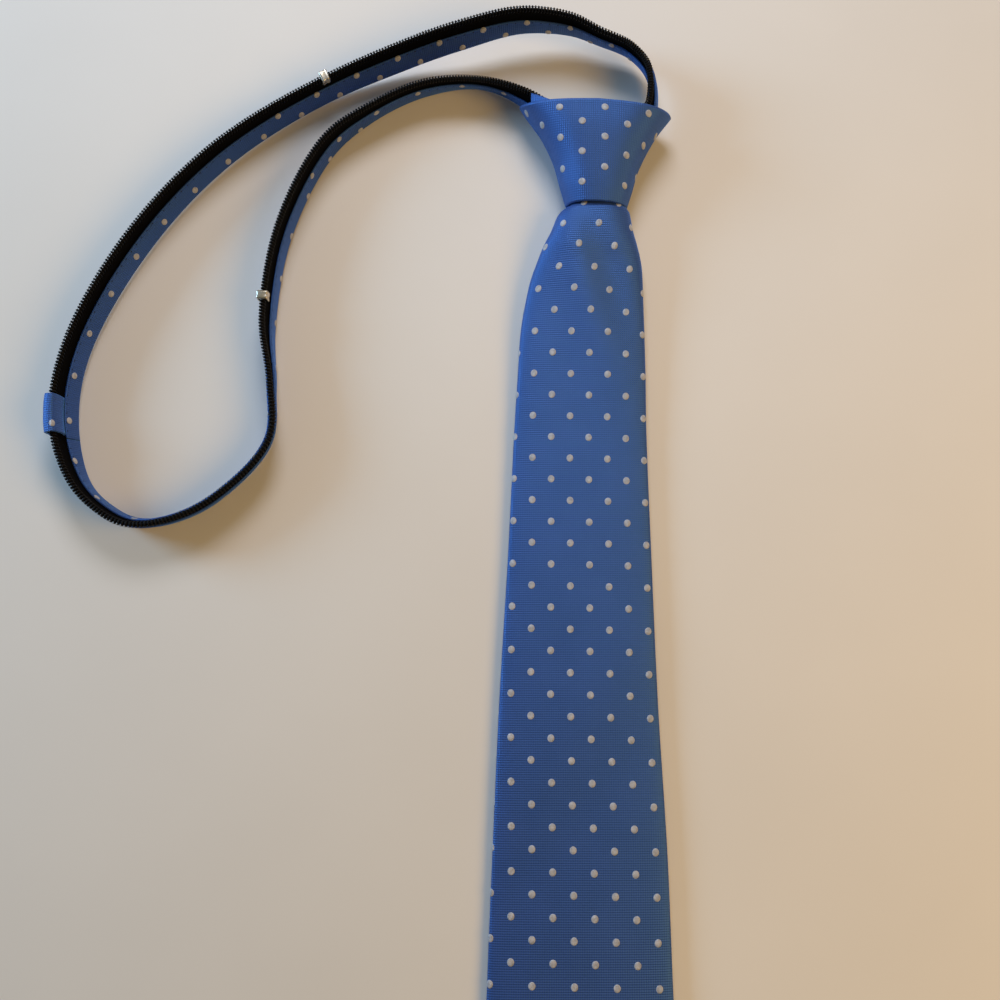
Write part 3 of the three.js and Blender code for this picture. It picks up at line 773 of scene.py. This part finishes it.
def tape_outline():
    """The tape across: full in the trim, thinner above it, and full again under the coil."""
    half = TAPE_THICKNESS / 2
    bottom = TRIM_WALL + SEAT
    top = BAND_WIDTH - TEETH_HEIGHT - SEAT
    side = [(bottom, half), (TRIM_HEIGHT, half), (TRIM_HEIGHT + 1.5, half * 0.8), (top - 2.2, half * 0.8),
            (top - 1.2, half * 1.1), (top - 0.3, half)]
    right = [(u, v) for v, u in side]
    left = [(-u, v) for v, u in reversed(side)]
    return round_outline(right + left, 0.3, 2)


def outline_map(outline, distances):
    """Cloth places of a swept outline: the way round it, and the way along the band."""
    round_it = arc_lengths(np.vstack([outline, outline[:1]]))[:-1]
    return np.stack(np.broadcast_arrays(round_it[None], np.asarray(distances)[:, None]), -1)


def build_tape(side, start, end, material):
    outline = tape_outline()
    distances = spaced(start, end, BAND_STEP)
    tape = skin(f"tape_{side}_woven", sweep_points(distances, outline), outline_map(outline, distances))
    finish_piece(tape, material, "zip_tape", f"tape_{side}")


COIL_TURN_POINTS = 14
COIL_END_GAP = 0.5
COIL_SQUARENESS = 0.7
COIL_HEAD_WIDENING = 0.25
WIRE_SIDES = 6
CORE_HALF_WIDTH = 0.62
CORE_HALF_HEIGHT = 0.75
CORE_END_GAP = 0.6
CORE_SIDES = 12


def build_coil(side, start, end, material):
    """The nylon coil: a squarish helix of wire whose heads are pressed wider along the tape."""
    turns = int((end - start - 2 * COIL_END_GAP) / COIL_PITCH)
    count = turns * COIL_TURN_POINTS + 1
    turn = np.arange(count) // COIL_TURN_POINTS
    share = np.arange(count) / COIL_TURN_POINTS - turn
    phase = share * 2 * math.pi
    distance = start + COIL_END_GAP + COIL_PITCH * (turn + smooth_step(0.52, 0.98, share))
    half_u = TEETH_THICKNESS / 2 - COIL_WIRE
    half_v = TEETH_HEIGHT / 2 - COIL_WIRE
    square = lambda w: np.sign(w) * np.abs(w) ** COIL_SQUARENESS
    u = half_u * square(np.cos(phase))
    v = BAND_WIDTH - TEETH_HEIGHT / 2 + half_v * square(np.sin(phase))
    head = smooth_step(0.55, 1, np.sin(phase))
    hem, across, along = band_frames(distance)[:3]
    heading = np.cross(along, across)
    centre = hem + u[:, None] * across + (v - TRIM_HEIGHT)[:, None] * along
    way = np.gradient(centre, axis=0)
    way /= np.linalg.norm(way, axis=1)[:, None]
    wide = heading - (heading * way).sum(1)[:, None] * way
    wide /= np.linalg.norm(wide, axis=1)[:, None]
    thin = np.cross(way, wide)
    rings = []
    for k in range(WIRE_SIDES):
        angle = 2 * math.pi * k / WIRE_SIDES
        broad = COIL_WIRE * (1 + COIL_HEAD_WIDENING * head)[:, None] * math.cos(angle)
        rings.append(centre + broad * wide + COIL_WIRE * math.sin(angle) * thin)
    finish_piece(skin(f"coil_{side}", np.stack(rings, 1)), material, "zip_coil", f"teeth_{side}")


def build_coil_core(side, start, end, material):
    """The filler cord inside the coil."""
    middle = BAND_WIDTH - TEETH_HEIGHT + CORE_HALF_HEIGHT
    turns = np.linspace(0, 2 * math.pi, CORE_SIDES + 1)[:-1]
    ring = [(CORE_HALF_WIDTH * math.cos(a), middle + CORE_HALF_HEIGHT * math.sin(a)) for a in turns]
    distances = spaced(start + CORE_END_GAP, end - CORE_END_GAP, BAND_STEP)
    finish_piece(skin(f"coil_core_{side}", sweep_points(distances, ring)), material, "zip_tape")


# A stitch's corners, as shares of its half-length along the band, and of its half-width up it and outward
STITCH_CORNERS = (
    (-1, 0, 0), (-0.6, 1, 0), (0.6, 1, 0), (1, 0, 0),
    (0.6, -1, 0), (-0.6, -1, 0), (-0.5, 0, 1), (0.5, 0, 1),
)
STITCH_FACES = ((0, 1, 6), (1, 2, 7, 6), (2, 3, 7), (3, 4, 7), (4, 5, 6, 7), (5, 0, 6), (5, 4, 3, 2, 1, 0))


def build_stitches(name, sites, u, v, half_length, half_width, material):
    """Small raised lozenges on both sides of the band, one at each site along it."""
    points, faces = [], []
    for sign in (1, -1):
        corners = []
        for ds, dv, du in STITCH_CORNERS:
            place = (sign * (u + half_width * du), v + half_width * dv)
            corners.append(sweep_points(sites + half_length * ds, [place], v < TRIM_HEIGHT)[:, 0])
        points.append(np.stack(corners, 1).reshape(-1, 3))
    for stitch in range(2 * len(sites)):
        order = -1 if stitch < len(sites) else 1
        faces += [tuple(len(STITCH_CORNERS) * stitch + i for i in face[::order]) for face in STITCH_FACES]
    finish_piece(make_mesh(name, np.concatenate(points), faces), material, "zip_tape")


def build_coil_stitches(side, start, end, material):
    """The stitches over the coil's legs, one to a turn."""
    sites = np.arange(start + 1, end - 1, COIL_PITCH)
    out, up = TEETH_THICKNESS / 2 + 0.02, BAND_WIDTH - TEETH_HEIGHT + 0.6
    build_stitches(f"coil_stitches_{side}", sites, out, up, COIL_PITCH * 0.36, 0.16, material)


def build_trim_stitches(side, start, end, material):
    """The row of stitches along the trim's hem, coloured darker than the trim: painted shade of the needle
    marks.
    """
    sites = np.arange(math.ceil((start + 1) / STITCH_STEP), (end - 1) / STITCH_STEP) * STITCH_STEP
    out, up = TRIM_THICKNESS / 2 - 0.3, TRIM_HEIGHT - STITCH_INSET
    build_stitches(f"trim_stitches_{side}", sites, out, up, 0.42, 0.3, material)


STITCH_SINK = 0.22
FOLD_ROUNDNESS = 0.9


def trim_outline(pucker):
    """The folded strip: down one side, round the fold and up the other, with hems that turn in at the top."""
    inner = TAPE_THICKNESS / 2 + SEAT
    outer = inner + TRIM_WALL
    sink = STITCH_SINK * pucker
    turns = np.linspace(0, math.pi / 2, 7)
    fold = [(outer * math.sin(a), outer * (1 - math.cos(a)) * FOLD_ROUNDNESS) for a in turns]
    side = [(outer, TRIM_HEIGHT * 0.55), (outer - 0.04 - sink * 0.4, TRIM_HEIGHT - 1.6),
            (outer - 0.1 - sink, TRIM_HEIGHT - STITCH_INSET), (outer - 0.02, TRIM_HEIGHT - 0.4),
            (outer - 0.18, TRIM_HEIGHT - 0.08), (outer - 0.5, TRIM_HEIGHT), (inner + 0.15, TRIM_HEIGHT - 0.1),
            (inner, TRIM_HEIGHT - 0.5), (inner, TRIM_HEIGHT * 0.5), (inner, TRIM_WALL + 0.5)]
    right = fold[1:] + side + [(inner * 0.6, TRIM_WALL + 0.08)]
    return np.array(fold[:1] + right + [(-u, v) for u, v in reversed(right)])


def trim_maps(outline, distances):
    """Cloth places of the trim, whose way across is the way round its outside from the fold."""
    ways = arc_lengths(np.vstack([outline, outline[:1]]))
    count = len(outline)
    signed = np.where(np.arange(count) <= count // 2, ways[:-1], ways[:-1] - ways[-1])
    return np.stack(np.broadcast_arrays(signed[None], np.asarray(distances)[:, None]), -1)


def build_trim(side, start, end, cloth):
    distances = spaced(start, end, STITCH_STEP / 6)
    pucker = 0.5 + 0.5 * np.cos(2 * math.pi * distances / STITCH_STEP)
    outlines = np.array([trim_outline(p) for p in pucker])
    rings = sweep_points(distances, outlines, True)
    trim = skin(f"trim_{side}_cloth", rings, trim_maps(outlines[0], distances))
    finish_piece(trim, cloth, "trim_cloth", f"trim_{side}")


STOP_STEPS = 15
STOP_PINCH = 0.22
STOP_PINCH_REACH = 0.35
STOP_ROUNDED_FROM = 0.75
STOP_LIP = 0.15


def build_stop(side, place, metal):
    """A crimped metal stop: a rounded channel over the coil, pinched at its middle."""
    inner = TEETH_THICKNESS / 2 + SEAT
    top = BAND_WIDTH + SEAT + STOP_WALL
    low = BAND_WIDTH - TEETH_HEIGHT - 2 * SEAT
    distances = np.linspace(place - STOP_LENGTH / 2, place + STOP_LENGTH / 2, STOP_STEPS)
    rings = []
    for t in np.linspace(-1, 1, STOP_STEPS):
        pinch = STOP_PINCH * math.exp(-(t / STOP_PINCH_REACH) ** 2)
        shrink = STOP_WALL * 0.45 * max(0, abs(t) - STOP_ROUNDED_FROM) / (1 - STOP_ROUNDED_FROM)
        outer = inner + STOP_WALL - pinch - shrink * 0.5
        inside = inner - pinch
        right = [(inside, top - STOP_WALL), (inside, low), (outer, low + STOP_LIP), (outer, top - shrink)]
        left = [(-u, v) for u, v in reversed(right)]
        rings.append(round_outline(left + right, 0.4))
    stop = skin(f"stop_{side}_crimped", sweep_points(distances, np.array(rings)))
    finish_piece(stop, metal, "stop_metal", f"stop_{side}")


KEEPER_STEPS = 40
KEEPER_WALL_SHARE = 0.75
KEEPER_WAVE = 0.12
KEEPER_WAVE_FROM = 14


def keeper_outline(open_share):
    """The puffed sleeve's outside and inside, wider towards its open end."""
    low = TRIM_HEIGHT + SEAT + KEEPER_LIFT
    neck = TAPE_THICKNESS / 2 + SEAT
    belly = TEETH_THICKNESS / 2 + SEAT - 0.25 * (1 - open_share)
    top = BAND_WIDTH + KEEPER_PUFF - 0.5 * (1 - open_share)
    inside = [(neck, low), (belly * 0.9, low + (top - low) * 0.25), (belly, low + (top - low) * 0.45),
              (belly, top - belly), (belly * 0.82, top - belly * 0.45), (belly * 0.45, top - 0.1), (0, top)]
    wall = KEEPER_WALL * KEEPER_WALL_SHARE
    outside = [(u + (wall if u else 0), v + (wall if v > top - belly else 0)) for u, v in inside]
    mirrored = lambda line: line + [(-u, v) for u, v in reversed(line[:-1])]
    return np.array(mirrored(outside)), np.array(mirrored(inside))


def build_keeper(cloth):
    """The sleeve round the joint of the two halves. Returns its outside and cloth map for its dot."""
    start = KEEPER_PLACE - KEEPER_LENGTH / 2
    distances = np.linspace(start, start + KEEPER_LENGTH, KEEPER_STEPS)
    rings, maps = [], []
    for share, distance in zip(np.linspace(0, 1, KEEPER_STEPS), distances):
        outside, inside = keeper_outline(share)
        wave = KEEPER_WAVE * math.sin(9 * share) * (1 - share)
        outside[:, 1] += wave * (outside[:, 1] > KEEPER_WAVE_FROM)
        rings.append(np.vstack([outside, inside[::-1]]))
        across = arc_lengths(outside)
        across = np.concatenate([across, across[::-1]])
        maps.append(np.stack([across, np.full(len(across), distance)], -1))
    points, maps = sweep_points(distances, np.array(rings)), np.array(maps)
    finish_piece(skin("keeper_cloth", points, maps), cloth, "dotted_cloth", "keeper")
    outside = points.shape[1] // 2
    return points[:, :outside], maps[:, :outside]


# Dots

def surface_point(surface, u, v):
    """The point at a place on the cloth, followed by the middle of its ring, or None off the cloth."""
    grid, maps = surface
    rows = maps[:, 0, 1]
    if rows[0] > rows[-1]:
        grid, maps, rows = grid[::-1], maps[::-1], rows[::-1]
    if not rows[0] <= v <= rows[-1]:
        return None
    k = min(int(np.searchsorted(rows, v, "right")) - 1, len(rows) - 2)
    t = (v - rows[k]) / max(rows[k + 1] - rows[k], 1e-9)
    across = (1 - t) * maps[k, :, 0] + t * maps[k + 1, :, 0]
    ring = (1 - t) * grid[k] + t * grid[k + 1]
    order = np.argsort(across)
    across, ring = across[order], ring[order]
    if not across[0] <= u <= across[-1]:
        return None
    return np.array([np.interp(u, across, ring[:, a]) for a in range(3)] + list(ring.mean(0)))


SLOPE_STEP = 0.25


def raised_point(surface, u, v, height):
    """The point at a height over a place on the cloth, or None off the cloth."""
    here = surface_point(surface, u, v)
    beside = surface_point(surface, u + SLOPE_STEP, v)
    beyond = surface_point(surface, u, v + SLOPE_STEP)
    if here is None or beside is None or beyond is None:
        return None
    normal = np.cross((beside - here)[:3], (beyond - here)[:3])
    length = np.linalg.norm(normal)
    if length < 1e-9:
        return None
    outward = 1 if np.dot(normal, here[:3] - here[3:]) > 0 else -1
    return here[:3] + normal / length * outward * height


# A dot's rings: share of its reach, and of its height
DOT_RINGS = ((0.0, 1.0), (0.45, 0.93), (0.75, 0.72), (0.92, 0.38), (1.0, -0.15))
DOT_SIDES = 14


def dot_places(site, wide, tall):
    """The places on the cloth and the heights of a dot's middle and of its rings' points."""
    places = []
    for share, height in DOT_RINGS:
        for i in range(1 if share == 0 else DOT_SIDES):
            turn = 2 * math.pi * i / DOT_SIDES
            u = site[0] + share * wide / 2 * math.cos(turn)
            v = site[1] + share * tall / 2 * math.sin(turn)
            places.append((u, v, height * DOT_HEIGHT))
    return places


def dot_faces(first):
    faces = []
    for i in range(DOT_SIDES):
        j = (i + 1) % DOT_SIDES
        faces.append((first, first + 1 + i, first + 1 + j))
        for ring in range(len(DOT_RINGS) - 2):
            a, b = first + 1 + ring * DOT_SIDES, first + 1 + (ring + 1) * DOT_SIDES
            faces.append((a + i, b + i, b + j, a + j))
    return faces


def build_dots(name, surface, sites, wide, tall, satin, slot):
    """Raised satin dots on a surface, which is a grid of points and its cloth map."""
    points, faces, cloth = [], [], []
    for site in sites:
        places = dot_places(site, wide, tall)
        made = [raised_point(surface, *place) for place in places]
        if any(point is None for point in made):
            continue
        faces += dot_faces(len(points))
        points += made
        cloth += [(u, v) for u, v, _ in places]
    finish_piece(make_mesh(name, points, faces, cloth), satin, slot)


BLADE_DOTS_START = 35.6
BLADE_DOTS_STEP = 17.15
BLADE_DOTS_SPREAD = 14.4
BLADE_DOTS_SHIFT = -4.9


def blade_dot_sites():
    """The blade's dots, in rows that shift by half and grow closer, with columns that spread apart."""
    sites = []
    for half_row in range(-4, 54):
        row = half_row / 2
        down = BLADE_DOTS_START + BLADE_DOTS_STEP * row - 0.05 * row * row
        spread = BLADE_DOTS_SPREAD + 0.0035 * max(down - 36, 0)
        shift = BLADE_DOTS_SHIFT + 0.0105 * (down - 36)
        for column in range(-8, 9):
            across = shift + (column + (half_row % 2) / 2) * spread
            sites.append((across, down + 0.025 * across))
    return sites


KNOT_DOTS_SPREAD = 17.9
KNOT_DOTS_STEP = 5.68
KNOT_DOTS_SHIFT = 2.4
KNOT_DOTS_TOP = 4.5


def knot_dot_sites():
    """The knot's dots: its cloth is turned by a quarter, and its columns run straight down."""
    sites = []
    for row in range(8):
        for column in range(-5, 6):
            across = KNOT_DOTS_SHIFT + (column + (row % 2) / 2) * KNOT_DOTS_SPREAD
            sites.append((across, KNOT_DOTS_TOP - KNOT_DOTS_STEP * row))
    return sites


# Rows of dots on the trims: the side of the band (-1 is the loop's inside), height and its rise along the
# band, the first dot's place, the step, and where the row starts and ends.
TRIM_DOT_ROWS = table(
    "side height rise first step start end",
    (-1, 2.0, 0.0235, 60.2, 18.65, 43, 382),
    (-1, 7.2, 0.0, 69.5, 18.65, 58, 230),
    (1, 5.0, 0.0, 64.1, 18.65, 43, 382),
    (1, 2.2, 0.0, 407.1, 19.0, 387, 638),
    (1, 6.9, 0.0, 604.1, 20.0, 598, 724),
    (-1, 6.9, 0.0, 394.1, 17.8, 387, 724),
)
TRIM_RISE_START = 210
TRIM_ROUND = 1.07
KEEPER_DOT_SITE = (13.0, 380.6)


def trim_dot_sites():
    sites = []
    for row in TRIM_DOT_ROWS:
        for along in np.arange(row["first"], row["end"], row["step"]):
            height = row["height"] + row["rise"] * max(along - TRIM_RISE_START, 0)
            if along > row["start"]:
                sites.append((row["side"] * (height + TRIM_ROUND), along))
    return sites


def trim_surface():
    """Both trims' outside from knot to knot, with its cloth map."""
    outline = trim_outline(0)
    distances = spaced(0, ROUTE_LENGTH, BAND_STEP)
    maps = trim_maps(outline, distances)
    order = np.argsort(maps[0, :, 0])
    return sweep_points(distances, outline, True)[:, order], maps[:, order]


# Stage

TABLE_HALF = 1.6
TABLE_GAP = 0.0002


def build_table(finish):
    half = TABLE_HALF / MM
    corners = [(-half, -half, 0), (half, -half, 0), (half, half, 0), (-half, half, 0)]
    floor = make_mesh("table_top", corners, [(0, 1, 2, 3)])
    floor.location.z = -TABLE_GAP
    floor.data.materials.append(finish)


# Round lamps, in metres and watts
LIGHTS = table(
    "name place target size power color",
    ("window", (-0.06, 0.36, 0.5), (-0.05, -0.05, 0), 0.3, 2.25, (0.9, 0.91, 1.0)),
    ("sky", (-1.0, 0.22, 0.4), (-0.02, -0.1, 0), 0.4, 8.0, (0.42, 0.7, 1.0)),
    ("room", (0.55, -0.36, 0.6), (0.02, -0.13, 0), 0.5, 4.2, (1.0, 0.6, 0.2)),
)
AIR_COLOR = (1.0, 0.96, 0.8)
AIR_STRENGTH = 0.15


def add_area_light(name, place, target, size, power, color):
    data = bpy.data.lights.new(name, "AREA")
    data.shape = "DISK"
    data.size = size
    data.energy = power
    data.color = color
    light = bpy.data.objects.new(name, data)
    light.location = place
    way = np.array(target) - np.array(place)
    light.rotation_euler = Vector(way).to_track_quat("-Z", "Y").to_euler()
    bpy.context.scene.collection.objects.link(light)


def set_lights():
    for row in LIGHTS:
        add_area_light(**row)
    world = bpy.data.worlds.new("room_air")
    world.use_nodes = True
    set_inputs(world.node_tree.nodes["Background"], {"Color": (*AIR_COLOR, 1), "Strength": AIR_STRENGTH})
    bpy.context.scene.world = world
    bpy.context.scene.view_settings.view_transform = "Standard"


def set_camera():
    data = bpy.data.cameras.new("camera")
    data.lens = CAMERA_LENS
    data.sensor_width = CAMERA_SENSOR
    data.clip_start = 0.01
    camera = bpy.data.objects.new("camera", data)
    camera.location = [c * MM for c in CAMERA_PLACE]
    camera.rotation_euler = (math.radians(CAMERA_TILT), 0, 0)
    bpy.context.scene.collection.objects.link(camera)
    bpy.context.scene.camera = camera


# The whole tie

TRIM_JOINT = KEEPER_PLACE + TRIM_JOINT_SHIFT


def build_band(finishes):
    """Both halves of the zip, which meet in the keeper, with their trims, which meet beside it."""
    halves = {
        "right": (0, KEEPER_PLACE - SEAT / 2, 0, TRIM_JOINT - SEAT / 2),
        "left": (KEEPER_PLACE + SEAT / 2, ROUTE_LENGTH, TRIM_JOINT + SEAT / 2, ROUTE_LENGTH),
    }
    for side, (start, end, trim_start, trim_end) in halves.items():
        build_tape(side, start, end, finishes["woven_tape"])
        build_coil(side, start, end, finishes["coil_black"])
        build_coil_core(side, start, end, finishes["thread_black"])
        build_coil_stitches(side, start, end, finishes["thread_black"])
        build_trim(side, trim_start, trim_end, finishes["trim_cloth_blue"])
        build_trim_stitches(side, trim_start, trim_end, finishes["thread_dark"])
    build_stop("right", STOP_RIGHT_PLACE, finishes["stop_metal_worn"])
    build_stop("left", ROUTE_LENGTH - STOP_LEFT_PLACE, finishes["stop_metal_worn"])


def main():
    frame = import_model()
    set_camera()
    finishes = all_finishes()
    satin = finishes["dot_satin"]

    blade = build_blade(finishes["blade_cloth_blue"])
    knot = build_knot(finishes["knot_cloth_blue"])
    build_knot_fold(finishes["knot_cloth_blue"])
    build_band(finishes)
    keeper = build_keeper(finishes["trim_cloth_blue"])
    slider = frame["nodes"]["slider"].data.materials
    slider.clear()
    slider.append(finishes["slider_black"])

    round_dot, long_dot = DOT_WIDTH, DOT_WIDTH * 1.1
    build_dots("blade_dots", blade, blade_dot_sites(), round_dot, long_dot, satin, "dotted_cloth")
    build_dots("knot_dots", knot, knot_dot_sites(), long_dot, round_dot, satin, "dotted_cloth")
    build_dots("trim_dots", trim_surface(), trim_dot_sites(), round_dot, round_dot, satin, "trim_cloth")
    build_dots("keeper_dot", keeper, [KEEPER_DOT_SITE], round_dot, round_dot, satin, "dotted_cloth")

    build_table(table_finish())
    set_lights()


main()
